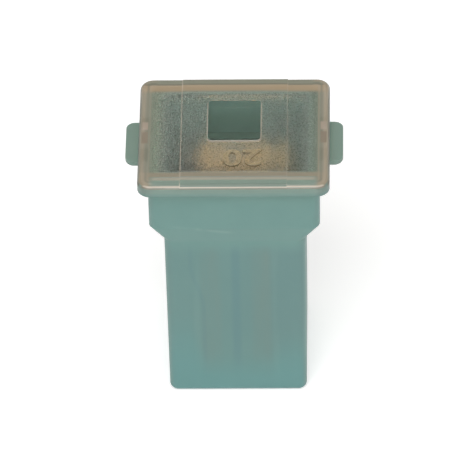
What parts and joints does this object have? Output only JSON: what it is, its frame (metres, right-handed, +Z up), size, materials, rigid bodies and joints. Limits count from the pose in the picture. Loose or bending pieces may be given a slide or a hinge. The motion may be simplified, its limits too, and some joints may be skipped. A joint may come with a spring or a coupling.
{
  "type": "cartridge fuse",
  "caption": "Plug-in cartridge fuse with a tinted moulded housing, a clear clipped cover with an inspection window, and female blade contacts in its foot.",
  "frame": {"origin": "centre of the flat foot that the fuse stands on", "axes": "+Z up from the foot to the cover, X across the two ears, front towards -Y"},
  "size_m": [0.0246, 0.019, 0.0328],
  "materials": {
    "housing_plastic": "satin moulded, slightly translucent teal",
    "cover_plastic": "clear with a faint amber tint, fine textured field round a polished window",
    "contact_metal": "tinned copper alloy sheet",
    "tin": "dull cast tin"
  },
  "bodies": {
    "root": {"housing": "housing_plastic", "cover": "cover_plastic", "fuse_link": "contact_metal", "tin_slug": "tin"}
  },
  "joints": []
}
